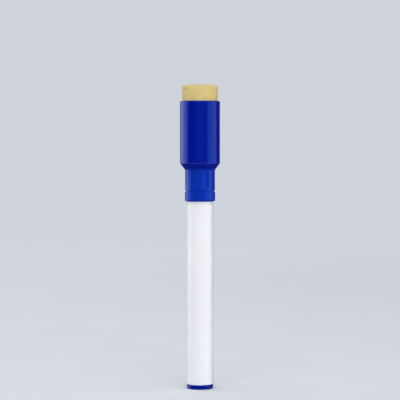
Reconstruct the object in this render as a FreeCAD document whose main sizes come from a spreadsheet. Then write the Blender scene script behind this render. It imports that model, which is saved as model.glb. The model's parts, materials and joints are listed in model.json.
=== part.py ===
# Felt tip marker for white boards: a slim round barrel with a push-on cap.
# The cap carries a felt eraser in its wide head, and the marker stands on its
# tail plug.  +Z runs up the marker's axis from the centre of the foot, and
# every length is in millimetres.
import FreeCAD, Part
import os
import re

import Sketcher

# Driving dimensions.  Heights named "..._height" are measured from the cap's
# mouth, which rests on the nib holder's collar.
SIZES = {
    # barrel
    "barrel_dia": 10.6,
    "barrel_bore": 8.6,
    "barrel_length": 72.8,
    "barrel_edge": 0.2,
    "bore_lead": 0.3,
    "rib_reach": 0.35,
    "rib_width": 0.9,
    "rib_count": 4,
    "rib_root": 0.2,
    "rib_setback": 0.6,
    "push_gap": 0.04,
    # tail plug
    "foot_flange": 1.8,
    "foot_rounding": 0.7,
    "foot_recess_dia": 6.4,
    "foot_recess_depth": 0.5,
    "gate_dia": 1.3,
    "gate_drop": 0.25,
    "plug_floor": 1.2,
    "plug_reach": 6.0,
    "plug_wall": 1.0,
    "prong_slot": 1.2,
    "prong_depth": 3.6,
    "slot_count": 2,
    # ink reservoir
    "core_dia": 7.5,
    "core_length": 58.4,
    "film_wall": 0.12,
    "film_gap": 0.02,
    "socket_gap": 0.06,
    "end_gap": 0.2,
    # nib holder
    "holder_reach": 8.0,
    "collar": 0.8,
    "neck_dia": 8.9,
    "neck_height": 10.7,
    "bead_dia": 9.2,
    "bead_height": 5.2,
    "bead_length": 1.2,
    "land_dia": 6.8,
    "land_start": 11.3,
    "land_height": 14.1,
    "land_step": 0.3,
    "nose_root_dia": 6.5,
    "nose_dia": 5.5,
    "nose_height": 18.5,
    "holder_hollow": 6.4,
    "throat_drop": 2.0,
    "throat_taper": 1.0,
    "vent_width": 0.6,
    "vent_reach": 0.4,
    "vent_overlap": 0.6,
    "vent_count": 3,
    # nib
    "nib_dia": 4.2,
    "nib_gap": 0.02,
    "nib_straight": 1.7,
    "nib_proud": 5.0,
    "nib_tip_dia": 2.6,
    "nib_rounding": 1.2,
    "nib_bite": 6.0,
    "nib_point": 2.0,
    "nib_point_dia": 1.6,
    # cap shell
    "mouth_gap": 0.1,
    "skirt_dia": 12.0,
    "skirt_bore": 9.6,
    "catch_dia": 9.3,
    "catch_height": 4.2,
    "catch_length": 0.8,
    "lip_dia": 12.2,
    "lip_height": 3.7,
    "lip_rounding": 0.45,
    "lip_groove_dia": 11.4,
    "lip_groove": 0.5,
    "flute_radius": 3.6,
    "flute_depth": 0.4,
    "flute_start": 6.7,
    "flute_end": 10.4,
    "flute_count": 8,
    "skirt_height": 12.6,
    "shoulder_height": 15.2,
    "shoulder_rounding": 1.0,
    "waist_rounding": 1.4,
    "head_dia": 16.0,
    "head_bore": 14.0,
    "rim_height": 40.2,
    "rim_rounding": 0.5,
    "rim_lead": 0.25,
    "sleeve_dia": 10.4,
    "sleeve_bore": 8.2,
    "sleeve_start": 11.0,
    "sleeve_lead": 0.5,
    "sleeve_end": 29.3,
    "sleeve_cap": 1.2,
    "chamber_floor": 16.5,
    # seal liner
    "liner_gap": 0.05,
    "liner_start": 11.6,
    "liner_end": 29.2,
    "liner_roof": 0.8,
    "liner_bore": 6.6,
    "seal_bore": 6.9,
    "seal_length": 3.0,
    "seal_taper": 0.3,
    # ring magnet, eraser seat and felt
    "magnet_bore": 10.6,
    "magnet_dia": 13.8,
    "magnet_length": 10.0,
    "magnet_edge": 0.3,
    "magnet_gap": 0.1,
    "seat_gap": 0.05,
    "seat_bore": 10.8,
    "seat_start": 26.7,
    "seat_plate": 1.2,
    "seat_height": 36.0,
    "glue_dia": 13.2,
    "glue_thickness": 0.2,
    "felt_dia": 13.8,
    "felt_thickness": 10.2,
    "felt_edge": 0.4,
}

# Places worked out from the driving dimensions.
COLLAR_TOP = "foot_flange + barrel_length + collar"
CAP_SEAT = COLLAR_TOP + " + mouth_gap"
HOLDER_FOOT = "foot_flange + barrel_length - holder_reach"
CORE_FOOT = "foot_flange + plug_reach + end_gap"
NIB_LENGTH = "nib_bite + holder_reach + collar + nose_height + nib_proud"

# Round edges nearer than this to a wanted place are the ones meant.
SAME_PLACE = 1e-3

doc = FreeCAD.newDocument("felt_tip_marker")
sheet = doc.addObject("Spreadsheet::Sheet", "Sizes")
for row, (alias, value) in enumerate(SIZES.items(), 1):
    sheet.set(f"A{row}", alias)
    sheet.set(f"B{row}", str(value))
    sheet.setAlias(f"B{row}", alias)
doc.recompute()

bodies = []


def bound(text):
    """The expression with each alias pointed at its cell in the sheet."""
    return re.sub(r"[a-z_]{2,}(?![a-z_(])", lambda word: "Sizes." + word.group(), text)


def value_of(text):
    return float(sheet.evalExpression(text))


def new_body(label, foot="0"):
    """A body whose own origin stands at the height foot on the marker's axis."""
    body = doc.addObject("PartDesign::Body", label)
    body.Label = label
    body.setExpression("Placement.Base.z", bound(foot))
    bodies.append(body)
    return body


def origin_feature(body, role):
    return next(f for f in body.Origin.OriginFeatures if f.Role == role)


def new_sketch(body, name, plane, lift="0"):
    sketch = body.newObject("Sketcher::SketchObject", name)
    sketch.AttachmentSupport = [(origin_feature(body, plane), "")]
    sketch.MapMode = "FlatFace"
    sketch.setExpression("AttachmentOffset.Base.z", bound(lift))
    return sketch


def place_point(sketch, edge, end, across, up):
    """Holds one end of a sketch edge at (across, up), both of them expressions."""
    for kind, text, axis in (("DistanceX", across, -2), ("DistanceY", up, -1)):
        if text == "0":
            sketch.addConstraint(Sketcher.Constraint("PointOnObject", edge, end, axis))
            continue
        amount = value_of(text)
        number = sketch.addConstraint(Sketcher.Constraint(kind, -1, 1, edge, end, amount))
        sketch.setExpression(f"Constraints[{number}]", bound(text))


def draw_outline(sketch, points):
    """A closed outline of straight edges through points given as expressions."""
    corners = [FreeCAD.Vector(value_of(x), value_of(y), 0) for x, y in points]
    count = len(corners)
    for i, corner in enumerate(corners):
        sketch.addGeometry(Part.LineSegment(corner, corners[(i + 1) % count]), False)
    for i, (across, up) in enumerate(points):
        sketch.addConstraint(Sketcher.Constraint("Coincident", (i - 1) % count, 2, i, 1))
        place_point(sketch, i, 1, across, up)


def turn(body, points):
    """Revolves an outline of (radius, height) points about the marker's axis."""
    sketch = new_sketch(body, body.Label + "_outline", "XZ_Plane")
    draw_outline(sketch, points)
    turned = body.newObject("PartDesign::Revolution", body.Label + "_turned")
    turned.Profile = sketch
    turned.ReferenceAxis = (sketch, ["V_Axis"])
    turned.Angle = 360
    sketch.Visibility = False
    doc.recompute()
    return turned


def rings(feature, places):
    """The names of the round edges at the given (radius, height) places."""
    wanted = [(value_of(radius), value_of(height)) for radius, height in places]
    names = []
    for number, edge in enumerate(feature.Shape.Edges, 1):
        if not isinstance(edge.Curve, Part.Circle):
            continue
        found = (edge.Curve.Radius, edge.Curve.Center.z)
        if any(abs(found[0] - r) + abs(found[1] - z) < SAME_PLACE for r, z in wanted):
            names.append(f"Edge{number}")
    if len(names) < len(places):
        raise ValueError(f"{feature.Label}: found {names} for {places}")
    return names


def dress(body, kind, size, places):
    """Fillets or chamfers the round edges at places, by a size from the sheet."""
    base = body.Tip
    feature = body.newObject("PartDesign::" + kind, f"{body.Label}_{kind.lower()}_{size}")
    feature.Base = (base, rings(base, places))
    feature.setExpression("Radius" if kind == "Fillet" else "Size", bound(size))
    doc.recompute()


def around(body, features, count, angle=360):
    """Repeats features evenly about the marker's axis, over an angle in degrees."""
    pattern = body.newObject("PartDesign::PolarPattern", features[0].Label + "_around")
    pattern.Originals = features
    pattern.Axis = (origin_feature(body, "Z_Axis"), [""])
    pattern.Angle = angle
    pattern.setExpression("Occurrences", bound(count))
    body.Tip = pattern
    doc.recompute()


def checked_cut(body, feature):
    """Recomputes a new cut and makes sure that it takes material away."""
    before = feature.BaseFeature.Shape.Volume
    doc.recompute()
    if feature.Shape.Volume >= before:
        raise ValueError(f"{feature.Label} cuts nothing")


def make_barrel():
    body = new_body("barrel", "foot_flange")
    outer, bore = "barrel_dia / 2", "barrel_bore / 2"
    turn(body, [(bore, "0"), (outer, "0"), (outer, "barrel_length"), (bore, "barrel_length")])
    dress(body, "Fillet", "barrel_edge", [(outer, "0"), (outer, "barrel_length")])
    dress(body, "Chamfer", "bore_lead", [(bore, "0"), (bore, "barrel_length")])
    # Ribs inside the bore centre the reservoir and leave air beside it.
    sketch = new_sketch(body, "rib_section", "XY_Plane", "plug_reach + rib_setback")
    inner = "barrel_bore / 2 - rib_reach"
    root = "barrel_bore / 2 + rib_root"
    side = "rib_width / 2"
    draw_outline(sketch, [(inner, f"-{side}"), (root, f"-{side}"), (root, side), (inner, side)])
    rib = body.newObject("PartDesign::Pad", "rib")
    rib.Profile = sketch
    rib.setExpression("Length", bound("barrel_length - holder_reach - plug_reach - 2 * rib_setback"))
    doc.recompute()
    around(body, [rib], "rib_count")


def make_tail_plug():
    body = new_body("tail_plug")
    rim, spigot = "barrel_dia / 2", "barrel_bore / 2 - push_gap"
    hollow = "barrel_bore / 2 - push_gap - plug_wall"
    floor = "foot_recess_depth + plug_floor"
    top = "foot_flange + plug_reach"
    turn(body, [
        ("0", "foot_recess_depth - gate_drop"),
        ("gate_dia / 2", "foot_recess_depth - gate_drop"),
        ("gate_dia / 2", "foot_recess_depth"),
        ("foot_recess_dia / 2", "foot_recess_depth"),
        ("foot_recess_dia / 2", "0"),
        (rim, "0"),
        (rim, "foot_flange"),
        (spigot, "foot_flange"),
        (spigot, top),
        (hollow, top),
        (hollow, floor),
        ("0", floor),
    ])
    dress(body, "Fillet", "foot_rounding", [(rim, "0")])
    dress(body, "Fillet", "barrel_edge", [(rim, "foot_flange")])
    dress(body, "Chamfer", "bore_lead", [(spigot, top)])
    # Two crossing slots split the spigot into four springy prongs.
    sketch = new_sketch(body, "prong_slot_section", "XY_Plane", top)
    end, side = "barrel_dia / 2", "prong_slot / 2"
    draw_outline(sketch, [(f"-{end}", f"-{side}"), (end, f"-{side}"), (end, side), (f"-{end}", side)])
    slot = body.newObject("PartDesign::Pocket", "prong_slot")
    slot.Profile = sketch
    slot.setExpression("Length", bound("prong_depth"))
    checked_cut(body, slot)
    around(body, [slot], "slot_count", angle=180)


def make_reservoir_core():
    body = new_body("reservoir_core", CORE_FOOT)
    outer, socket = "core_dia / 2", "nib_dia / 2 + socket_gap"
    bottom = "core_length - nib_bite - end_gap"
    turn(body, [
        ("0", "0"),
        (outer, "0"),
        (outer, "core_length"),
        (socket, "core_length"),
        (socket, f"{bottom} + nib_point"),
        ("nib_point_dia / 2 + socket_gap", bottom),
        ("0", bottom),
    ])


def make_reservoir_film():
    body = new_body("reservoir_film", CORE_FOOT)
    inner = "core_dia / 2 + film_gap"
    outer = inner + " + film_wall"
    turn(body, [(inner, "0"), (outer, "0"), (outer, "core_length"), (inner, "core_length")])


def make_nib_holder():
    body = new_body("nib_holder", HOLDER_FOOT)
    base = "holder_reach + collar"
    spigot, rim, neck = "barrel_bore / 2 - push_gap", "barrel_dia / 2", "neck_dia / 2"
    hollow, bore = "holder_hollow / 2", "nib_dia / 2"
    bead, land = "bead_dia / 2", "land_dia / 2"
    throat = f"{base} + neck_height - throat_drop"
    turn(body, [
        (hollow, "0"),
        (spigot, "0"),
        (spigot, "holder_reach"),
        (rim, "holder_reach"),
        (rim, base),
        (neck, base),
        (neck, f"{base} + bead_height"),
        (bead, f"{base} + bead_height + bead_length / 3"),
        (bead, f"{base} + bead_height + bead_length * 2 / 3"),
        (neck, f"{base} + bead_height + bead_length"),
        (neck, f"{base} + neck_height"),
        (land, f"{base} + land_start"),
        (land, f"{base} + land_height"),
        ("nose_root_dia / 2", f"{base} + land_height + land_step"),
        ("nose_dia / 2", f"{base} + nose_height"),
        (bore, f"{base} + nose_height"),
        (bore, f"{throat} + throat_taper"),
        (hollow, throat),
    ])
    dress(body, "Fillet", "barrel_edge", [
        (rim, "holder_reach"),
        (rim, base),
        ("nose_dia / 2", f"{base} + nose_height"),
    ])
    dress(body, "Chamfer", "bore_lead", [(spigot, "0")])
    # Grooves beside the nib let air back into the reservoir.
    sketch = new_sketch(body, "vent_section", "XY_Plane", f"{base} + nose_height")
    inner, outer, side = "nib_dia / 2 - vent_overlap", "nib_dia / 2 + vent_reach", "vent_width / 2"
    draw_outline(sketch, [(inner, f"-{side}"), (outer, f"-{side}"), (outer, side), (inner, side)])
    vent = body.newObject("PartDesign::Pocket", "vent")
    vent.Profile = sketch
    vent.setExpression("Length", bound("nose_height - neck_height + throat_drop"))
    checked_cut(body, vent)
    around(body, [vent], "vent_count")


def make_nib():
    body = new_body("nib", HOLDER_FOOT + " - nib_bite")
    side = "nib_dia / 2 - nib_gap"
    shoulder = f"{NIB_LENGTH} - nib_proud + nib_straight"
    turn(body, [
        ("0", "0"),
        ("nib_point_dia / 2", "0"),
        (side, "nib_point"),
        (side, shoulder),
        ("nib_tip_dia / 2", NIB_LENGTH),
        ("0", NIB_LENGTH),
    ])
    dress(body, "Fillet", "nib_rounding", [("nib_tip_dia / 2", NIB_LENGTH)])


def make_cap_shell():
    body = new_body("cap_shell", CAP_SEAT)
    bore, catch, lip = "skirt_bore / 2", "catch_dia / 2", "lip_dia / 2"
    skirt, groove, head = "skirt_dia / 2", "lip_groove_dia / 2", "head_dia / 2"
    sleeve, sleeve_bore, cup = "sleeve_dia / 2", "sleeve_bore / 2", "head_bore / 2"
    roof = "sleeve_end + sleeve_cap"
    turn(body, [
        (bore, "0"),
        (lip, "0"),
        (lip, "lip_height"),
        (groove, "lip_height"),
        (groove, "lip_height + lip_groove"),
        (skirt, "lip_height + lip_groove"),
        (skirt, "skirt_height"),
        (head, "shoulder_height"),
        (head, "rim_height"),
        (cup, "rim_height"),
        (cup, "chamber_floor"),
        (sleeve, "chamber_floor"),
        (sleeve, roof),
        ("0", roof),
        ("0", "sleeve_end"),
        (sleeve_bore, "sleeve_end"),
        (sleeve_bore, "sleeve_start"),
        (bore, "sleeve_start - sleeve_lead"),
        (bore, "catch_height + catch_length"),
        (catch, "catch_height + catch_length * 3 / 4"),
        (catch, "catch_height + catch_length / 4"),
        (bore, "catch_height"),
    ])
    dress(body, "Fillet", "shoulder_rounding", [(head, "shoulder_height"), (sleeve, roof)])
    dress(body, "Fillet", "waist_rounding", [(skirt, "skirt_height")])
    dress(body, "Fillet", "lip_rounding", [(lip, "0")])
    dress(body, "Fillet", "rim_rounding", [(head, "rim_height")])
    dress(body, "Fillet", "rim_lead", [(cup, "rim_height"), (bore, "0"), (lip, "lip_height")])
    cut_flutes(body)


def cutter(body, kind, name, up):
    """A round cutter for the first flute, half a pitch round from the +X side."""
    across = "(skirt_dia / 2 + flute_radius - flute_depth)"
    half_pitch = "(180 / flute_count)"
    tool = body.newObject("PartDesign::Subtractive" + kind, name)
    tool.AttachmentSupport = [(origin_feature(body, "XY_Plane"), "")]
    tool.MapMode = "FlatFace"
    tool.setExpression("AttachmentOffset.Base.x", bound(f"{across} * cos({half_pitch})"))
    tool.setExpression("AttachmentOffset.Base.y", bound(f"{across} * sin({half_pitch})"))
    tool.setExpression("AttachmentOffset.Base.z", bound(up))
    tool.setExpression("Radius", bound("flute_radius"))
    return tool


def cut_flutes(body):
    """Shallow finger flutes: a long round cut, finished by a ball cut at each end."""
    long_cut = cutter(body, "Cylinder", "flute", "flute_start")
    long_cut.setExpression("Height", bound("flute_end - flute_start"))
    checked_cut(body, long_cut)
    foot_cut = cutter(body, "Sphere", "flute_foot", "flute_start")
    checked_cut(body, foot_cut)
    head_cut = cutter(body, "Sphere", "flute_head", "flute_end")
    checked_cut(body, head_cut)
    around(body, [long_cut, foot_cut, head_cut], "flute_count")


def make_seal_liner():
    body = new_body("seal_liner", f"{CAP_SEAT} + liner_start")
    outer, seal, bore = "sleeve_bore / 2 - liner_gap", "seal_bore / 2", "liner_bore / 2"
    top = "liner_end - liner_start"
    turn(body, [
        (seal, "0"),
        (outer, "0"),
        (outer, top),
        ("0", top),
        ("0", f"{top} - liner_roof"),
        (bore, f"{top} - liner_roof"),
        (bore, "seal_length + seal_taper"),
        (seal, "seal_length"),
    ])
    dress(body, "Chamfer", "rim_lead", [(outer, top)])


def make_ring_magnet():
    body = new_body("ring_magnet", f"{CAP_SEAT} + chamber_floor + magnet_gap")
    bore, outer, top = "magnet_bore / 2", "magnet_dia / 2", "magnet_length"
    turn(body, [(bore, "0"), (outer, "0"), (outer, top), (bore, top)])
    dress(body, "Chamfer", "magnet_edge", [(bore, "0"), (outer, "0"), (bore, top), (outer, top)])


def make_eraser_seat():
    body = new_body("eraser_seat", f"{CAP_SEAT} + seat_start")
    bore, outer, top = "seat_bore / 2", "head_bore / 2 - seat_gap", "seat_height - seat_start"
    turn(body, [
        (bore, "0"),
        (outer, "0"),
        (outer, top),
        ("0", top),
        ("0", f"{top} - seat_plate"),
        (bore, f"{top} - seat_plate"),
    ])
    dress(body, "Chamfer", "magnet_edge", [(outer, "0")])


def make_felt_adhesive():
    body = new_body("felt_adhesive", f"{CAP_SEAT} + seat_height")
    side, top = "glue_dia / 2", "glue_thickness"
    turn(body, [("0", "0"), (side, "0"), (side, top), ("0", top)])


def make_eraser_felt():
    body = new_body("eraser_felt", f"{CAP_SEAT} + seat_height + glue_thickness")
    side, top = "felt_dia / 2", "felt_thickness"
    turn(body, [("0", "0"), (side, "0"), (side, top), ("0", top)])
    dress(body, "Fillet", "felt_edge", [(side, top)])


make_barrel()
make_tail_plug()
make_reservoir_core()
make_reservoir_film()
make_nib_holder()
make_nib()
make_cap_shell()
make_seal_liner()
make_ring_magnet()
make_eraser_seat()
make_felt_adhesive()
make_eraser_felt()
doc.recompute()

for item in doc.Objects:
    if "Invalid" in item.State or "Error" in item.State:
        raise ValueError(f"{item.Label} failed: {item.State}")
for body in bodies:
    if body.Shape.isNull() or not body.Shape.isValid() or not body.Shape.Solids:
        raise ValueError(f"{body.Label} has no valid solid")

os.makedirs("parts", exist_ok=True)
for body in bodies:
    body.Shape.exportStep(f"parts/{body.Label}.step")
    box = body.Shape.optimalBoundingBox()
    print(f"{body.Label}: {box.ZMin:.2f} to {box.ZMax:.2f} mm high, {box.XLength:.2f} mm across")
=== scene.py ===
"""The finished look of a felt tip marker for white boards, built around its frame.

The marker stands on its tail plug at z = 0 with its axis along +Z.  The frame is in
metres; outlines here are in millimetres, and take their places from the frame's boxes.
"""

import json
import math

import bmesh
import bpy
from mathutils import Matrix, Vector, noise


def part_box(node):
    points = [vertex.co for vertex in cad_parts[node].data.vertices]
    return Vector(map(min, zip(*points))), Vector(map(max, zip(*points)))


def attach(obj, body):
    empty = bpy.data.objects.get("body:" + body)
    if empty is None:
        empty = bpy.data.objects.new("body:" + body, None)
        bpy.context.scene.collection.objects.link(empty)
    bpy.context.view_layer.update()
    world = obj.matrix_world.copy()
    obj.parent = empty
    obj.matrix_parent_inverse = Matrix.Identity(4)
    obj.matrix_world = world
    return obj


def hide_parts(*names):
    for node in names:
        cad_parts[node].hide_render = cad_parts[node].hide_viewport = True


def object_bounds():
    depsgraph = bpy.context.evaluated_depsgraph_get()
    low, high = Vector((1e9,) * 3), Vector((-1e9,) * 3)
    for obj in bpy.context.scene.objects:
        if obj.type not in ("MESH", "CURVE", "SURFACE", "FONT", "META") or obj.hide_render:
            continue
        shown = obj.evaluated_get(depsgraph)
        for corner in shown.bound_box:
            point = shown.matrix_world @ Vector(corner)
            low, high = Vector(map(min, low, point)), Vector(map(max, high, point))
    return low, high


MM = 0.001
TURN = 2 * math.pi
ON_AXIS = 1e-6

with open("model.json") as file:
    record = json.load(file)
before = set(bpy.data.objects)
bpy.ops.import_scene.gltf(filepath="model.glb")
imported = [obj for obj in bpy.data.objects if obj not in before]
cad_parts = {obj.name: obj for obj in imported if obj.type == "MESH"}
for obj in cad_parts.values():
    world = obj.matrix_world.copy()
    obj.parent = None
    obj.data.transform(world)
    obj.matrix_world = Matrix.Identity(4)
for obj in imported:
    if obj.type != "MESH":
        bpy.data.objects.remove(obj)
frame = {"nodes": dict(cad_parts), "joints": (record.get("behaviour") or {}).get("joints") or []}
cad_nodes = frame["nodes"]
cad_low, cad_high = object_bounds()


def heights(node):
    """The lowest and highest point of a node, in millimetres."""
    low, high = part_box(node)
    return low.z / MM, high.z / MM


def widest(node):
    """A round node's outside radius, in millimetres."""
    low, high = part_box(node)
    return (high.x - low.x) / 2 / MM


cap_mouth, cap_rim = heights("cap_shell")
felt_foot, felt_top = heights("eraser_felt")
nib_foot, nib_tip = heights("nib")
marker_top = cad_high.z / MM
cap_travel = frame["joints"][0]["range_m"][1] / MM


# ---------------------------------------------------------------- camera

LENS = 150
SENSOR = 36
MARGIN = 4.5
LOOK_DOWN = math.radians(1.8)


def make_camera():
    """Looks straight at the marker's front from just above level, with room for the raised cap."""
    camera = bpy.data.objects.new("camera", bpy.data.cameras.new("camera"))
    bpy.context.scene.collection.objects.link(camera)
    camera.data.lens = LENS
    camera.data.sensor_width = SENSOR
    framed = marker_top + cap_travel + 2 * MARGIN
    away = framed * MM / SENSOR * LENS
    aim = Vector((0, 0, (framed / 2 - MARGIN) * MM))
    back = Vector((0, -math.cos(LOOK_DOWN), math.sin(LOOK_DOWN)))
    camera.location = aim + away * back
    camera.rotation_euler = back.to_track_quat("Z", "Y").to_euler()
    bpy.context.scene.camera = camera


make_camera()


# ---------------------------------------------------------------- turning outlines into meshes


def rounded(corners, steps=5):
    """An outline through (radius, height, rounding) corners, each one rounded off."""
    points = []
    for i, (radius, height, rounding) in enumerate(corners):
        corner = Vector((radius, height))
        if not rounding:
            points.append(corner)
            continue
        back = (Vector(corners[i - 1][:2]) - corner).normalized()
        ahead = (Vector(corners[(i + 1) % len(corners)][:2]) - corner).normalized()
        half = back.angle(ahead) / 2
        centre = corner + (back + ahead).normalized() * rounding / math.sin(half)
        reach = rounding / math.tan(half)
        first = (corner + back * reach - centre).normalized()
        last = (corner + ahead * reach - centre).normalized()
        points += [centre + first.slerp(last, n / steps) * rounding for n in range(steps + 1)]
    return points


def with_rows(points, row, edge=0.04):
    """The outline with a ring just inside each end of a long stretch, and others a row apart."""
    result = []
    for here, there in zip(points, points[1:] + points[:1]):
        result.append(here)
        length = (there - here).length
        if length < 4 * edge or max(here.x, there.x) < ON_AXIS:
            continue
        inner = length - 2 * edge
        parts = max(1, math.ceil(inner / row))
        result += [here.lerp(there, (edge + inner * n / parts) / length) for n in range(parts + 1)]
    return result


def finished(name, built):
    """A smooth-shaded object from a closed bmesh, with its faces pointing outwards."""
    bmesh.ops.recalc_face_normals(built, faces=built.faces)
    for face in built.faces:
        face.smooth = True
    mesh = bpy.data.meshes.new(name)
    built.to_mesh(mesh)
    built.free()
    piece = bpy.data.objects.new(name, mesh)
    bpy.context.scene.collection.objects.link(piece)
    return piece


def around(radius, height, angle):
    """The point at an angle about the axis."""
    return Vector((radius * math.cos(angle), radius * math.sin(angle), height))


def turned(name, points, segments, shape=None):
    """A closed piece turned about the marker's axis.

    shape(radius, height, angle) may give a point another radius and height.
    """
    built = bmesh.new()
    rings = []
    for radius, height in points:
        if radius < ON_AXIS:
            rings.append([built.verts.new((0, 0, height * MM))])
            continue
        ring = []
        for n in range(segments):
            angle = TURN * n / segments
            across, up = shape(radius, height, angle) if shape else (radius, height)
            ring.append(built.verts.new(around(across, up, angle) * MM))
        rings.append(ring)
    for low, high in zip(rings, rings[1:] + rings[:1]):
        if len(low) + len(high) == 2:
            continue
        for n in range(segments):
            below = [low[place % len(low)] for place in (n, n + 1)]
            above = [high[place % len(high)] for place in (n + 1, n)]
            built.faces.new(dict.fromkeys(below + above))
    return finished(name, built)


# ---------------------------------------------------------------- node trees


class Nodes:
    """Adds nodes to a tree and joins them up."""

    def __init__(self, tree):
        self.tree = tree

    def feed(self, socket, value):
        """Links a socket to another, or sets its value."""
        if isinstance(value, bpy.types.NodeSocket):
            self.tree.links.new(value, socket)
        else:
            socket.default_value = value

    def add(self, kind, settings=(), **inputs):
        """A new node with its settings, and its inputs named with _ for each space."""
        node = self.tree.nodes.new(kind)
        for name, value in dict(settings).items():
            setattr(node, name, value)
        for name, value in inputs.items():
            self.feed(node.inputs[name.replace("_", " ")], value)
        return node

    def maths(self, operation, *values):
        node = self.add("ShaderNodeMath", {"operation": operation})
        for socket, value in zip(node.inputs, values):
            self.feed(socket, value)
        return node.outputs["Value"]


class Finish(Nodes):
    """A procedural finish: one Principled shader and the nodes that feed it."""

    def __init__(self, name, **constants):
        self.material = bpy.data.materials.new(name)
        self.material.use_nodes = True
        super().__init__(self.material.node_tree)
        self.shader = self.tree.nodes["Principled BSDF"]
        self.place = self.add("ShaderNodeTexCoord").outputs["Object"]
        self.set(**constants)

    def set(self, **inputs):
        """Sets or links the shader's inputs, named with _ for each space."""
        for name, value in inputs.items():
            self.feed(self.shader.inputs[name.replace("_", " ")], value)

    def linked(self, name):
        """What already feeds one of the shader's inputs."""
        return self.shader.inputs[name].links[0].from_socket

    def noise(self, size, detail=3, stretch=(1, 1, 1), roughness=0.5):
        """Cloudy noise whose features are about size millimetres, drawn out by stretch."""
        scale = [1 / s for s in stretch]
        spot = self.add("ShaderNodeMapping", Vector=self.place, Scale=scale).outputs["Vector"]
        return self.add(
            "ShaderNodeTexNoise", Vector=spot, Scale=1 / (size * MM), Detail=detail, Roughness=roughness,
        ).outputs["Fac"]

    def ramp(self, value, *stops):
        """Maps a value through two (position, colour) stops."""
        node = self.add("ShaderNodeValToRGB", Fac=value)
        for element, (position, shade) in zip(node.color_ramp.elements, stops):
            element.position = position
            element.color = (*shade, 1)
        return node.outputs["Color"]

    def scaled(self, value, low, high, into=(0, 1)):
        """A value's range low to high, mapped onto the range into and clamped."""
        return self.add(
            "ShaderNodeMapRange", Value=value, From_Min=low, From_Max=high,
            To_Min=into[0], To_Max=into[1],
        ).outputs["Result"]

    def mixed(self, amount, first, second):
        """The first colour, changing into the second as amount goes from 0 to 1."""
        node = self.add("ShaderNodeMix", {"data_type": "RGBA"})
        self.feed(node.inputs["Factor"], amount)
        self.feed(node.inputs["A"], first)
        self.feed(node.inputs["B"], second)
        return node.outputs["Result"]

    def height(self):
        """The height above the foot, in metres."""
        return self.add("ShaderNodeSeparateXYZ", Vector=self.place).outputs["Z"]

    def near(self, places, reach):
        """1 at the given heights, falling to 0 at a distance of reach, all in millimetres."""
        masks = []
        for place in places:
            away = self.maths("ABSOLUTE", self.maths("SUBTRACT", self.height(), place * MM))
            masks.append(self.scaled(away, 0, reach * MM, (1, 0)))
        total = masks[0]
        for mask in masks[1:]:
            total = self.maths("MAXIMUM", total, mask)
        return total

    def bump(self, value, depth):
        """Lays a bump of the given depth in millimetres over what is there already."""
        node = self.add("ShaderNodeBump", Height=value, Distance=depth * MM)
        if self.shader.inputs["Normal"].is_linked:
            self.feed(node.inputs["Normal"], self.linked("Normal"))
        self.set(Normal=node.outputs["Normal"])


# ---------------------------------------------------------------- plastics, felt and other finishes


def moulded_plastic(name, deep, pale, roughness, edges, worn, wear=1, **constants):
    """Moulded polypropylene: flow marks, a rippled gloss, hairline scuffs, and edges that are rubbed.

    The edges are heights in millimetres, worn is the colour that rubbing brings out, and wear is
    how strongly it shows.
    """
    finish = Finish(name, IOR=1.49, **constants)
    flow = finish.noise(7, 2, stretch=(1, 1, 4))
    scuff = finish.scaled(finish.noise(0.16, 3, stretch=(1, 1, 16)), 0.66, 0.76)
    smear = finish.noise(4, 2, stretch=(1, 1, 2))
    rubbed = finish.maths("MULTIPLY", finish.near(edges, 0.7), finish.noise(0.5, 4, roughness=0.7))
    rubbed = finish.scaled(rubbed, 0.3, 0.62)
    colour = finish.ramp(flow, (0.32, deep), (0.68, pale))
    scuffed = finish.maths("MULTIPLY", scuff, 0.05 * wear)
    marks = finish.maths("MULTIPLY_ADD", rubbed, 0.16 * wear, scuffed)
    finish.set(Base_Color=finish.mixed(marks, colour, (*worn, 1)))
    glossy = finish.scaled(smear, 0.2, 0.8, (roughness, roughness + 0.08))
    finish.set(Roughness=finish.maths("MULTIPLY_ADD", finish.maths("ADD", scuff, rubbed), 0.09, glossy))
    finish.bump(finish.noise(2.6, 2), 0.012)
    finish.bump(finish.noise(0.22, 2), 0.0025)
    finish.bump(scuff, -0.003)
    return finish


DEEP_BLUE, PALE_BLUE = (0.0002, 0.003, 0.235), (0.0004, 0.006, 0.275)
# A lighter blue for the skirt: a painted sheen.
PAINTED_SHEEN_BLUE = (0.0008, 0.024, 0.4)
RUBBED_BLUE = (0.2, 0.3, 0.62)
BLUE_SHINE = (0.08, 0.32, 1, 1)
RUBBED_WHITE = (0.52, 0.54, 0.6)
INK_STAIN = (0.01, 0.03, 0.3)
SKIRT_BLEND = 0.6


def cap_plastic():
    """Glossy on the head, and finely grained for the fingers on the skirt, whose colour is lifted there
    as a painted sheen.
    """
    edges = (cap_mouth, cap_mouth + LIP_HEIGHT, cap_mouth + SHOULDER_HEIGHT, cap_rim)
    finish = moulded_plastic(
        "cap_blue_polypropylene", DEEP_BLUE, PALE_BLUE, 0.2, edges, RUBBED_BLUE,
        Specular_Tint=BLUE_SHINE, Specular_IOR_Level=0.9,
    )
    skirt_top = cap_mouth + SKIRT_HEIGHT + 0.2
    low, high = (skirt_top - SKIRT_BLEND) * MM, (skirt_top + SKIRT_BLEND) * MM
    skirt = finish.scaled(finish.height(), low, high, (1, 0))
    # The skirt's colour is lifted towards a lighter blue: a painted sheen for the light its grain
    # catches.
    painted_sheen = finish.maths("MULTIPLY", skirt, 0.8)
    finish.set(Base_Color=finish.mixed(painted_sheen, finish.linked("Base Color"), (*PAINTED_SHEEN_BLUE, 1)))
    finish.set(Roughness=finish.maths("MULTIPLY_ADD", skirt, 0.16, finish.linked("Roughness")))
    finish.bump(finish.maths("MULTIPLY", finish.noise(0.13, 2), skirt), 0.008)
    return finish.material


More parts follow.
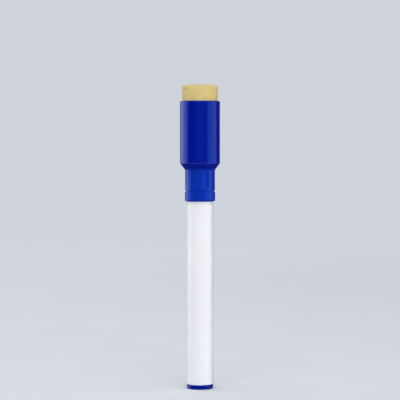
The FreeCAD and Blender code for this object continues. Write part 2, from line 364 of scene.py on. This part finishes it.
def plug_plastic():
    return moulded_plastic(
        "plug_blue_polypropylene", DEEP_BLUE, PALE_BLUE, 0.28,
        heights("tail_plug")[:1], RUBBED_BLUE, Specular_Tint=BLUE_SHINE,
    ).material


WHITE_DEPTH = {
    "Subsurface_Weight": 0.12, "Subsurface_Radius": (1, 0.95, 0.9), "Subsurface_Scale": 0.6 * MM,
}


def barrel_plastic():
    return moulded_plastic(
        "barrel_white_polypropylene", (0.82, 0.825, 0.84), (0.86, 0.865, 0.88), 0.3,
        heights("barrel"), RUBBED_WHITE, wear=2.5, **WHITE_DEPTH,
    ).material


def holder_plastic():
    """White polypropylene, stained by the ink round the nib."""
    foot, nose_end = heights("nib_holder")
    finish = moulded_plastic(
        "holder_white_polypropylene", (0.8, 0.81, 0.83), (0.85, 0.86, 0.88), 0.26,
        (foot + COLLAR_TOP, nose_end), RUBBED_WHITE, wear=2, **WHITE_DEPTH,
    )
    creep = finish.maths("MULTIPLY_ADD", finish.noise(1.2, 4), 2.4 * MM, finish.height())
    stain = finish.scaled(creep, (nose_end + 0.4) * MM, (nose_end + 1.5) * MM, (0, 0.85))
    finish.set(Base_Color=finish.mixed(stain, finish.linked("Base Color"), (*INK_STAIN, 1)))
    return finish.material


def liner_plastic():
    """Soft natural polyethylene, cloudy and waxy."""
    finish = Finish(
        "liner_natural_polyethylene", IOR=1.51, Transmission_Weight=0.25,
        Subsurface_Weight=0.35, Subsurface_Radius=(1, 1, 0.9), Subsurface_Scale=0.8 * MM,
    )
    cloud = finish.noise(2.5, 3)
    finish.set(Base_Color=finish.ramp(cloud, (0.3, (0.74, 0.75, 0.71)), (0.7, (0.84, 0.85, 0.82))))
    finish.set(Roughness=finish.scaled(cloud, 0.3, 0.7, (0.34, 0.48)))
    finish.bump(finish.noise(0.8, 3), 0.015)
    return finish.material


def seat_plastic():
    return moulded_plastic(
        "seat_white_polypropylene", (0.7, 0.7, 0.69), (0.77, 0.77, 0.76), 0.42,
        heights("eraser_seat"), RUBBED_WHITE,
    ).material


def ferrite():
    """Ground ferrite: dark grey, with pits and a faint sparkle."""
    finish = Finish("magnet_ferrite", Metallic=0.25, IOR=2.2)
    grain = finish.noise(0.25, 4)
    pit = finish.scaled(finish.noise(0.6, 5, roughness=0.7), 0.62, 0.7)
    finish.set(Base_Color=finish.ramp(grain, (0.3, (0.03, 0.029, 0.03)), (0.75, (0.085, 0.08, 0.078))))
    finish.set(Roughness=finish.scaled(grain, 0.3, 0.8, (0.42, 0.65)))
    finish.bump(grain, 0.01)
    finish.bump(pit, -0.05)
    return finish.material


def dried_glue():
    """Hot-melt glue, amber and slightly cloudy."""
    finish = Finish(
        "adhesive_amber_glue", IOR=1.48, Transmission_Weight=0.2,
        Subsurface_Weight=0.3, Subsurface_Radius=(1, 0.7, 0.3), Subsurface_Scale=0.5 * MM,
    )
    cloud = finish.noise(1.6, 3)
    finish.set(Base_Color=finish.ramp(cloud, (0.3, (0.62, 0.47, 0.22)), (0.7, (0.76, 0.63, 0.38))))
    finish.set(Roughness=finish.scaled(cloud, 0.3, 0.7, (0.25, 0.45)))
    finish.bump(cloud, 0.05)
    return finish.material


def wrap_film():
    """Clear film, wrinkled along its length and lightly marked by ink."""
    finish = Finish("film_clear_wrap", IOR=1.5, Transmission_Weight=0.75, Alpha=0.55)
    wrinkle = finish.noise(1.1, 3, stretch=(1, 1, 9))
    finish.set(Base_Color=finish.ramp(wrinkle, (0.35, (0.6, 0.7, 0.88)), (0.65, (0.85, 0.9, 0.97))))
    finish.set(Roughness=finish.scaled(wrinkle, 0.3, 0.7, (0.1, 0.26)))
    finish.bump(wrinkle, 0.04)
    return finish.material


def inked_fibre(name, dry, wet, roughness):
    """Bonded fibre that runs up the axis, soaked with blue ink."""
    finish = Finish(name, Sheen_Weight=0.15, Sheen_Roughness=0.5, IOR=1.4)
    strands = finish.noise(0.12, 3, stretch=(1, 1, 30), roughness=0.65)
    soak = finish.noise(2.2, 3)
    colour = finish.ramp(strands, (0.3, wet), (0.75, dry))
    finish.set(Base_Color=finish.mixed(finish.scaled(soak, 0.4, 0.75, (0, 0.5)), colour, (*wet, 1)))
    finish.set(Roughness=finish.scaled(strands, 0.3, 0.7, (roughness, roughness + 0.2)))
    finish.bump(strands, 0.03)
    return finish.material


def cream_felt():
    """Dense pressed felt: mottled cream wool, with painted shade in the hollows between its fibres and
    lighter bands whose colour is partly a painted highlight.
    """
    finish = Finish("eraser_cream_felt", Sheen_Weight=0.35, Sheen_Roughness=0.4, IOR=1.3)
    mottle = finish.noise(1.5, 4, roughness=0.6)
    fibre = finish.noise(0.16, 4, roughness=0.75)
    layers_and_painted_highlight = finish.noise(0.5, 2, stretch=(6, 6, 1))
    colour = finish.ramp(mottle, (0.28, (0.71, 0.56, 0.21)), (0.72, (0.81, 0.67, 0.3)))
    # Dark brown where the fine noise is low: painted shade for the hollows between the fibres.
    colour = finish.mixed(finish.scaled(fibre, 0.3, 0.52, (0.22, 0)), colour, (0.48, 0.34, 0.11, 1))
    # Lighter horizontal bands from the pressing, their colour partly a painted highlight.
    colour = finish.mixed(finish.scaled(layers_and_painted_highlight, 0.5, 0.7, (0, 0.3)), colour, (0.89, 0.77, 0.46, 1))
    finish.set(Base_Color=colour, Roughness=finish.scaled(mottle, 0.3, 0.7, (0.85, 0.97)))
    finish.bump(mottle, 0.12)
    finish.bump(fibre, 0.08)
    return finish.material


# ---------------------------------------------------------------- flutes and fibres


def bake(piece):
    """Turns what a piece's modifiers make into its own plain mesh."""
    bpy.context.view_layer.update()
    graph = bpy.context.evaluated_depsgraph_get()
    mesh = bpy.data.meshes.new_from_object(piece.evaluated_get(graph), depsgraph=graph)
    piece.modifiers.clear()
    piece.data = mesh


class Tree(Nodes):
    """A geometry tree that changes a piece's mesh by named sizes and gives it its finish."""

    def __init__(self, name, inputs):
        super().__init__(bpy.data.node_groups.new(name, "GeometryNodeTree"))
        self.sockets = {}
        sides = self.tree.interface
        sides.new_socket("Geometry", in_out="OUTPUT", socket_type="NodeSocketGeometry")
        sides.new_socket("Geometry", in_out="INPUT", socket_type="NodeSocketGeometry")
        for label, kind in {**inputs, "Finish": "Material"}.items():
            socket = sides.new_socket(label, in_out="INPUT", socket_type="NodeSocket" + kind)
            self.sockets[label] = socket.identifier
        self.given = self.add("NodeGroupInput").outputs

    def vector(self, x, y, z):
        return self.add("ShaderNodeCombineXYZ", X=x, Y=y, Z=z).outputs["Vector"]

    def place(self):
        """The position of each point, and its three parts."""
        whole = self.add("GeometryNodeInputPosition").outputs["Position"]
        parts = self.add("ShaderNodeSeparateXYZ", Vector=whole).outputs
        return whole, parts["X"], parts["Y"], parts["Z"]

    def end(self, geometry):
        """Makes copies real, gives the geometry its finish, and closes the tree."""
        real = self.add("GeometryNodeRealizeInstances", Geometry=geometry).outputs["Geometry"]
        coated = self.add("GeometryNodeSetMaterial", Geometry=real, Material=self.given["Finish"])
        self.add("NodeGroupOutput", Geometry=coated.outputs["Geometry"])

    def apply(self, piece, finish, **sizes):
        """Runs the tree on a piece, and leaves the result as its plain mesh."""
        modifier = piece.modifiers.new(self.tree.name, "NODES")
        modifier.node_group = self.tree
        for label, value in {**sizes, "Finish": finish}.items():
            modifier[self.sockets[label]] = value
        bake(piece)


class FluteTree(Tree):
    """Presses upright flutes into a round piece's side, evenly about its axis.

    Each is the mark of a cutter with round ends, whose own axis goes from Low to High outside
    the piece, and Softness rounds the flute's edges.
    """

    def __init__(self):
        labels = ("Side", "Cutter", "Depth", "Low", "High", "Softness")
        super().__init__("upright_flutes", {"Count": "Int", **{label: "Float" for label in labels}})
        given, maths = self.given, self.maths
        whole, x, y, z = self.place()
        radius = maths("SQRT", maths("MULTIPLY_ADD", x, x, maths("MULTIPLY", y, y)))
        pitch = maths("DIVIDE", TURN, given["Count"])
        within = maths("FLOORED_MODULO", maths("ARCTAN2", y, x), pitch)
        aside = maths("SUBTRACT", within, maths("MULTIPLY", pitch, 0.5))
        axis = maths("SUBTRACT", maths("ADD", given["Side"], given["Cutter"]), given["Depth"])
        below = maths("SUBTRACT", given["Low"], z)
        above = maths("SUBTRACT", z, given["High"])
        past_end = maths("MAXIMUM", maths("MAXIMUM", below, above), 0.0)
        off = maths("MULTIPLY", axis, maths("SINE", aside))
        missed = maths("MULTIPLY_ADD", past_end, past_end, maths("MULTIPLY", off, off))
        room = maths("SUBTRACT", maths("MULTIPLY", given["Cutter"], given["Cutter"]), missed)
        reach = maths("SQRT", maths("MAXIMUM", room, 0.0))
        cut = maths("SUBTRACT", maths("MULTIPLY", axis, maths("COSINE", aside)), reach)
        pressed = maths("SMOOTH_MIN", radius, cut, given["Softness"])
        scale = maths("DIVIDE", pressed, radius)
        moved = self.add("ShaderNodeVectorMath", {"operation": "MULTIPLY"})
        self.feed(moved.inputs[0], whole)
        self.feed(moved.inputs[1], self.vector(scale, scale, 1.0))
        self.end(self.add(
            "GeometryNodeSetPosition", Geometry=given["Geometry"], Position=moved.outputs["Vector"],
        ).outputs["Geometry"])


class FibreTree(Tree):
    """Scatters short curved fibres over a surface and joins them to it.

    Each fibre starts out pointing up the axis along the surface, turns aside by up to Spin and
    rises from the surface by up to Tilt.  There are none below the height From.
    """

    SIDES = 3
    BENDS = 3
    SHORTEST, LONGEST = 0.55, 1.3
    ROLL = 0.5

    def __init__(self):
        labels = ("Density", "Length", "Width", "Lift", "Spin", "Tilt", "From")
        super().__init__("surface_fibres", {**{label: "Float" for label in labels}, "Seed": "Int"})
        given, maths = self.given, self.maths
        shown = maths("GREATER_THAN", self.place()[3], given["From"])
        spots = self.add(
            "GeometryNodeDistributePointsOnFaces", Mesh=given["Geometry"],
            Density=maths("MULTIPLY", given["Density"], shown), Seed=given["Seed"],
        )
        upright = self.add(
            "FunctionNodeAlignRotationToVector", {"axis": "Z"}, Vector=spots.outputs["Normal"],
        ).outputs["Rotation"]
        combed = self.add(
            "FunctionNodeAlignRotationToVector", {"axis": "X", "pivot_axis": "Z"},
            Rotation=upright, Vector=(0, 0, 1),
        ).outputs["Rotation"]
        length = maths("MULTIPLY", given["Length"], self.between(self.SHORTEST, self.LONGEST, 1))
        placed = self.add(
            "GeometryNodeInstanceOnPoints", Points=spots.outputs["Points"],
            Instance=self.one_fibre(), Rotation=combed, Scale=length,
        ).outputs["Instances"]
        back, up = (maths("MULTIPLY", given[label], -1.0) for label in ("Spin", "Tilt"))
        turns = self.vector(
            self.between(-self.ROLL, self.ROLL, 2), self.between(up, 0.0, 3),
            self.between(back, given["Spin"], 4),
        )
        strewn = self.add("GeometryNodeRotateInstances", Instances=placed, Rotation=turns)
        joined = self.add("GeometryNodeJoinGeometry")
        self.tree.links.new(given["Geometry"], joined.inputs["Geometry"])
        self.tree.links.new(strewn.outputs["Instances"], joined.inputs["Geometry"])
        self.end(joined.outputs["Geometry"])

    def between(self, low, high, offset):
        """A random number for each fibre, from a seed at an offset from the tree's own."""
        node = self.add("FunctionNodeRandomValue", {"data_type": "FLOAT"})
        self.feed(node.inputs[2], low)
        self.feed(node.inputs[3], high)
        self.feed(node.inputs["Seed"], self.maths("ADD", self.given["Seed"], offset))
        return node.outputs[1]

    def one_fibre(self):
        """A bent fibre of unit length, which leaves the surface and comes back towards it."""
        lift = self.given["Lift"]
        arc = self.add(
            "GeometryNodeCurveQuadraticBezier", Resolution=self.BENDS, Start=(0, 0, -0.05),
            Middle=self.vector(0.45, 0.12, lift),
            End=self.vector(1.0, -0.1, self.maths("MULTIPLY", lift, 0.8)),
        )
        thickness = self.maths("DIVIDE", self.given["Width"], self.given["Length"])
        radius = self.maths("MULTIPLY", thickness, 0.5)
        section = self.add("GeometryNodeCurvePrimitiveCircle", Resolution=self.SIDES, Radius=radius)
        return self.add(
            "GeometryNodeCurveToMesh", Curve=arc.outputs["Curve"],
            Profile_Curve=section.outputs["Curve"], Fill_Caps=True,
        ).outputs["Mesh"]


flutes = FluteTree()
fibres = FibreTree()
SQUARE_MM = MM * MM


def settle(piece, body, slot, *replaced):
    """Makes a finished piece ride on its body in place of CAD nodes."""
    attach(piece, body)
    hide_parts(*replaced)


# ---------------------------------------------------------------- the cap

SKIRT_BORE, CATCH, LIP, LIP_GROOVE, SKIRT = 4.8, 4.65, 6.1, 5.7, 6.0
SLEEVE_BORE, SLEEVE, HEAD_BORE = 4.1, 5.2, 7.0
LIP_HEIGHT, GROOVE_HEIGHT, SKIRT_HEIGHT, SHOULDER_HEIGHT = 3.7, 4.2, 12.6, 15.2
CHAMBER_FLOOR, SLEEVE_END, SLEEVE_ROOF, SLEEVE_START = 16.5, 29.3, 30.5, 11.0
FLUTES, FLUTE_RADIUS, FLUTE_DEPTH, FLUTE_LOW, FLUTE_HIGH = 8, 3.6, 0.4, 6.7, 10.4
FLUTE_SOFTNESS = 0.1


def cap_outline():
    """Half of the cap's section, from the mouth up the outside and down the inside."""
    head = widest("cap_shell")
    rim = cap_rim - cap_mouth
    corners = [
        (SKIRT_BORE, 0, 0.25),
        (LIP, 0, 0.45),
        (LIP, LIP_HEIGHT, 0.22),
        (LIP_GROOVE, LIP_HEIGHT, 0.1),
        (LIP_GROOVE, GROOVE_HEIGHT, 0.1),
        (SKIRT, GROOVE_HEIGHT, 0.18),
        (SKIRT, SKIRT_HEIGHT, 1.4),
        (head, SHOULDER_HEIGHT, 1.0),
        (head, rim, 0.5),
        (HEAD_BORE, rim, 0.25),
        (HEAD_BORE, CHAMBER_FLOOR, 0.2),
        (SLEEVE, CHAMBER_FLOOR, 0.2),
        (SLEEVE, SLEEVE_ROOF, 0.9),
        (0, SLEEVE_ROOF, 0),
        (0, SLEEVE_END, 0),
        (SLEEVE_BORE, SLEEVE_END, 0.2),
        (SLEEVE_BORE, SLEEVE_START, 0.15),
        (SKIRT_BORE, SLEEVE_START - 0.5, 0.15),
        (SKIRT_BORE, GROOVE_HEIGHT + 0.8, 0),
        (CATCH, GROOVE_HEIGHT + 0.6, 0.1),
        (CATCH, GROOVE_HEIGHT + 0.2, 0.1),
        (SKIRT_BORE, GROOVE_HEIGHT, 0),
    ]
    return rounded([(radius, cap_mouth + above, size) for radius, above, size in corners])


def make_cap_shell():
    """The cap: lip, groove, fluted skirt, shoulder and head, with the bores inside it."""
    shell = turned("cap_shell_moulding", with_rows(cap_outline(), row=0.55), 192)
    flutes.apply(
        shell, cap_plastic(), Count=FLUTES, Side=SKIRT * MM, Cutter=FLUTE_RADIUS * MM,
        Depth=FLUTE_DEPTH * MM, Low=(cap_mouth + FLUTE_LOW) * MM, High=(cap_mouth + FLUTE_HIGH) * MM,
        Softness=FLUTE_SOFTNESS * MM,
    )
    settle(shell, "cap", "cap_blue", "cap_shell")


make_cap_shell()


# ---------------------------------------------------------------- the eraser felt

FELT_SWELL, FELT_CROWN, FELT_EDGE = 0.16, 0.12, 0.75
FELT_COARSE, FELT_FINE = 0.07, 0.045


def make_felt():
    """A felt puck, gripped by the cap's rim, that swells above it and is softly crowned on top."""
    side = widest("eraser_felt")
    corners = [
        (0, felt_foot, 0),
        (side, felt_foot, 0.2),
        (side, cap_rim + 0.4, 0.8),
        (side + FELT_SWELL, cap_rim + 2.2, 1.5),
        (side + 0.02, felt_top, FELT_EDGE),
        (0, felt_top + FELT_CROWN, 0),
    ]

    def uneven(radius, height, angle):
        if height < cap_rim:
            return radius, height
        spot = around(radius, height, angle)
        grow = FELT_COARSE * noise.noise(spot * 0.45) + FELT_FINE * noise.noise(spot * 2.1)
        above_rim = (height - cap_rim) / (felt_top - cap_rim)
        return radius + grow * radius / side, height + grow * above_rim

    felt = turned("eraser_felt_puck", with_rows(rounded(corners), row=0.22), 160, uneven)
    fibres.apply(
        felt, cream_felt(), Density=16 / SQUARE_MM, Length=0.6 * MM, Width=0.028 * MM,
        Lift=0.2, Spin=math.pi, Tilt=0.16, From=(cap_rim - 0.4) * MM, Seed=11,
    )
    settle(felt, "cap", "felt_cream", "eraser_felt")


make_felt()


# ---------------------------------------------------------------- the nib holder, nib and reservoir

COLLAR_FOOT, COLLAR_TOP, NECK_TOP, LAND_START, LAND_TOP = 8.0, 8.8, 19.5, 20.1, 22.9
SPIGOT, NECK, BEAD, LAND, NOSE_ROOT, NOSE = 4.26, 4.45, 4.6, 3.4, 3.25, 2.75
BEAD_START, BEAD_LENGTH = 14.0, 1.2
HOLLOW, NIB_BORE, THROAT = 3.2, 2.1, 17.5
VENTS, VENT_REACH, VENT_SIDE = 3, 2.5, 0.3


def vented(radius, height, angle):
    """Lets three square grooves for air into the bore that grips the nib."""
    pitch = TURN / VENTS
    aside = (angle + pitch / 2) % pitch - pitch / 2
    if radius < VENT_REACH and abs(VENT_REACH * math.sin(aside)) < VENT_SIDE:
        return VENT_REACH / math.cos(aside), height
    return radius, height


def make_nib_holder():
    """The white holder: spigot, collar, neck with its snap bead, land and nose."""
    foot, top = heights("nib_holder")
    rim = widest("nib_holder")
    nose_end = top - foot
    corners = [
        (HOLLOW, 0, 0.1),
        (SPIGOT, 0, 0.25),
        (SPIGOT, COLLAR_FOOT, 0.02),
        (rim, COLLAR_FOOT, 0.15),
        (rim, COLLAR_TOP, 0.2),
        (NECK, COLLAR_TOP, 0.08),
        (NECK, BEAD_START, 0.2),
        (BEAD, BEAD_START + BEAD_LENGTH / 3, 0.15),
        (BEAD, BEAD_START + BEAD_LENGTH * 2 / 3, 0.15),
        (NECK, BEAD_START + BEAD_LENGTH, 0.2),
        (NECK, NECK_TOP, 0.3),
        (LAND, LAND_START, 0.12),
        (LAND, LAND_TOP, 0.1),
        (NOSE_ROOT, LAND_TOP + 0.3, 0.1),
        (NOSE, nose_end, 0.25),
        (NIB_BORE, nose_end, 0.1),
        (NIB_BORE, THROAT + 1, 0.1),
        (HOLLOW, THROAT, 0.2),
    ]
    points = rounded([(radius, foot + above, size) for radius, above, size in corners])
    holder = turned("nib_holder_moulding", with_rows(points, row=0.6), 192, vented)
    holder.data.materials.append(holder_plastic())
    settle(holder, "pen", "holder_white", "nib_holder")


make_nib_holder()


NIB_POINT, NIB_TAPER = 0.8, 2
NIB_FLAT, NIB_BULLET, NIB_DOME = 1.3, 3.3, 1.2


def make_nib():
    """A bullet-shaped nib of bonded fibre, slightly flattened by writing."""
    side = widest("nib")
    corners = [
        (0, nib_foot, 0),
        (NIB_POINT, nib_foot, 0.1),
        (side, nib_foot + NIB_TAPER, 0.4),
        (side, nib_tip - NIB_BULLET, 0.6),
        (NIB_FLAT, nib_tip, NIB_DOME),
        (0, nib_tip + 0.03, 0),
    ]

    def stranded(radius, height, angle):
        spot = around(radius, height * 0.05, angle)
        return radius * (1 + 0.012 * noise.noise(spot * 6)), height

    nib = turned("nib_fibre_bullet", with_rows(rounded(corners, 8), row=0.5), 96, stranded)
    ink = inked_fibre("nib_inked_fibre", (0.012, 0.03, 0.3), (0.003, 0.008, 0.09), 0.38)
    fibres.apply(
        nib, ink, Density=14 / SQUARE_MM, Length=0.2 * MM, Width=0.012 * MM,
        Lift=0.02, Spin=0.15, Tilt=0.0, From=heights("nib_holder")[1] * MM, Seed=5,
    )
    settle(nib, "pen", "nib_ink", "nib")


make_nib()


SOCKET, SOCKET_POINT, SOCKET_BELOW_NIB = 2.16, 0.86, 0.4
CORE_TO_FILM, CORE_GROOVES = 0.05, 0.07


def make_reservoir_core():
    """A rod of bonded fibre, cut square at both ends, with a socket for the nib's foot."""
    foot, top = heights("reservoir_core")
    side = widest("reservoir_core") - CORE_TO_FILM
    socket_floor = nib_foot - SOCKET_BELOW_NIB
    corners = [
        (0, foot, 0),
        (side, foot, 0.15),
        (side, top, 0.15),
        (SOCKET, top, 0.15),
        (SOCKET, socket_floor + NIB_TAPER, 0.2),
        (SOCKET_POINT, socket_floor, 0.1),
        (0, socket_floor, 0),
    ]

    def bundled(radius, height, angle):
        spot = around(1, height * 0.01, angle) * 9
        return radius - CORE_GROOVES * abs(noise.noise(spot)) * radius / side, height

    core = turned("reservoir_core_fibre_rod", with_rows(rounded(corners), row=1.6), 128, bundled)
    ink = inked_fibre("core_inked_fibre", (0.02, 0.055, 0.42), (0.005, 0.014, 0.16), 0.45)
    fibres.apply(
        core, ink, Density=14 / SQUARE_MM, Length=0.3 * MM, Width=0.03 * MM,
        Lift=0.02, Spin=math.pi, Tilt=0.1, From=(top - 0.5) * MM, Seed=23,
    )
    settle(core, "pen", "core_ink", "reservoir_core")


make_reservoir_core()


FILM_WALL, FILM_INSIDE, FILM_OUTSIDE, FILM_RIPPLE = 0.04, 0.095, 0.03, 0.008
FILM_LAP = math.radians(25)
FILM_COLUMNS, FILM_ROWS = 160, 60


def make_reservoir_film():
    """Clear film rolled once round the core, its free edge lapped over the start."""
    foot, top = heights("reservoir_film")
    inner, outer = (widest("reservoir_film") - inset for inset in (FILM_INSIDE, FILM_OUTSIDE))
    built = bmesh.new()
    grid = []
    for row in range(FILM_ROWS + 1):
        height = foot + (top - foot) * row / FILM_ROWS
        line = []
        for column in range(FILM_COLUMNS + 1):
            angle = (TURN + FILM_LAP) * column / FILM_COLUMNS
            climb = min(max((angle - TURN) / FILM_LAP * 2 + 1, 0), 1)
            ripple = FILM_RIPPLE * noise.noise(around(2, height * 0.2, angle))
            radius = inner + (outer - inner) * climb + ripple
            line.append(built.verts.new(around(radius, height, angle) * MM))
        grid.append(line)
    for low, high in zip(grid, grid[1:]):
        for n in range(FILM_COLUMNS):
            built.faces.new((low[n], low[n + 1], high[n + 1], high[n]))
    film = finished("reservoir_film_wrap", built)
    film.data.materials.append(wrap_film())
    thickness = film.modifiers.new("wall", "SOLIDIFY")
    thickness.thickness = FILM_WALL * MM
    thickness.offset = 0
    bake(film)
    settle(film, "pen", "film_clear", "reservoir_film")


make_reservoir_film()


def make_felt_adhesive():
    """A disc of hot-melt glue, squeezed out unevenly between the seat and the felt."""
    foot, top = heights("felt_adhesive")
    side = widest("felt_adhesive")
    corners = [(0, foot, 0), (side, foot, 0.08), (side, top, 0.08), (0, top, 0)]

    def squeezed(radius, height, angle):
        spot = around(1, 0, angle)
        spread = noise.noise(spot * 1.3) + 0.5 * noise.noise(spot * 4)
        return radius * (0.95 + 0.03 * spread), height

    glue = turned("felt_adhesive_disc", with_rows(rounded(corners), row=0.4), 128, squeezed)
    glue.data.materials.append(dried_glue())
    settle(glue, "cap", "adhesive_amber", "felt_adhesive")


make_felt_adhesive()


for node, finish in (
    ("barrel", barrel_plastic),
    ("tail_plug", plug_plastic),
    ("seal_liner", liner_plastic),
    ("ring_magnet", ferrite),
    ("eraser_seat", seat_plastic),
):
    cad_nodes[node].data.materials.clear()
    cad_nodes[node].data.materials.append(finish())


# ---------------------------------------------------------------- floor, backdrop and light

COOL_WHITE = (0.975, 0.98, 1.0)
WALL_GREY = (0.62, 0.65, 0.71)
ROOM_GLOW = 0.05
FLOOR_RADIUS, FLOOR_FADES, FLOOR_GONE = 1.2, 0.25, 1.1


def make_floor():
    """A round of pale card that fades into the wall, and doesn't show in the cap's gloss."""
    built = bmesh.new()
    bmesh.ops.create_circle(built, cap_ends=True, segments=96, radius=FLOOR_RADIUS)
    mesh = bpy.data.meshes.new("floor")
    built.to_mesh(mesh)
    built.free()
    floor = bpy.data.objects.new("floor", mesh)
    bpy.context.scene.collection.objects.link(floor)
    finish = Finish("floor_pale_card", Specular_IOR_Level=0.2, Roughness=0.8)
    mottle = finish.noise(40, 3)
    finish.set(Base_Color=finish.ramp(mottle, (0.3, (0.68, 0.7, 0.74)), (0.7, (0.7, 0.72, 0.76))))
    away = finish.add("ShaderNodeVectorMath", {"operation": "LENGTH"})
    finish.feed(away.inputs[0], finish.place)
    fade = finish.scaled(away.outputs["Value"], FLOOR_FADES, FLOOR_GONE, (1, 0))
    finish.set(Alpha=fade)
    mesh.materials.append(finish.material)
    floor.visible_glossy = False


def make_backdrop():
    """A pale wall for the camera, in a room that is otherwise dim."""
    world = bpy.data.worlds.new("studio")
    bpy.context.scene.world = world
    world.use_nodes = True
    nodes = Nodes(world.node_tree)
    seen = nodes.add("ShaderNodeLightPath").outputs["Is Camera Ray"]
    room = nodes.tree.nodes["Background"]
    nodes.feed(room.inputs["Color"], (*COOL_WHITE, 1))
    nodes.feed(room.inputs["Strength"], ROOM_GLOW)
    wall = nodes.add("ShaderNodeBackground", Color=(*WALL_GREY, 1))
    mix = nodes.add("ShaderNodeMixShader", Fac=seen)
    for socket, shade in zip(mix.inputs[1:], (room, wall)):
        nodes.feed(socket, shade.outputs["Background"])
    nodes.feed(nodes.tree.nodes["World Output"].inputs["Surface"], mix.outputs["Shader"])


def make_softbox(name, place, size, power, glossy=True):
    """A soft rectangular light that faces the middle of the marker."""
    light = bpy.data.lights.new(name, "AREA")
    light.shape = "RECTANGLE"
    light.size, light.size_y = size
    light.energy = power
    light.color = COOL_WHITE
    lamp = bpy.data.objects.new(name, light)
    lamp.location = place
    aim = Vector((0, 0, marker_top / 2 * MM)) - lamp.location
    lamp.rotation_euler = aim.to_track_quat("-Z", "Y").to_euler()
    lamp.visible_camera = False
    lamp.visible_glossy = glossy
    bpy.context.scene.collection.objects.link(lamp)


make_floor()
make_backdrop()
make_softbox("right_softbox", (0.966, -0.26, 0.25), (1.2, 1.2), 6.2)
make_softbox("left_softbox", (-0.94, 0.34, 0.25), (1.3, 1.2), 8.5)
make_softbox("top_softbox", (0, -0.2, 1.1), (0.8, 0.8), 6)
make_softbox("front_fill", (0, -1.4, 0.5), (1.6, 1.2), 15, glossy=False)
make_softbox("back_fill", (-0.1, 1.4, 0.5), (1.6, 1.2), 13, glossy=False)

bpy.context.scene.view_settings.view_transform = "Standard"
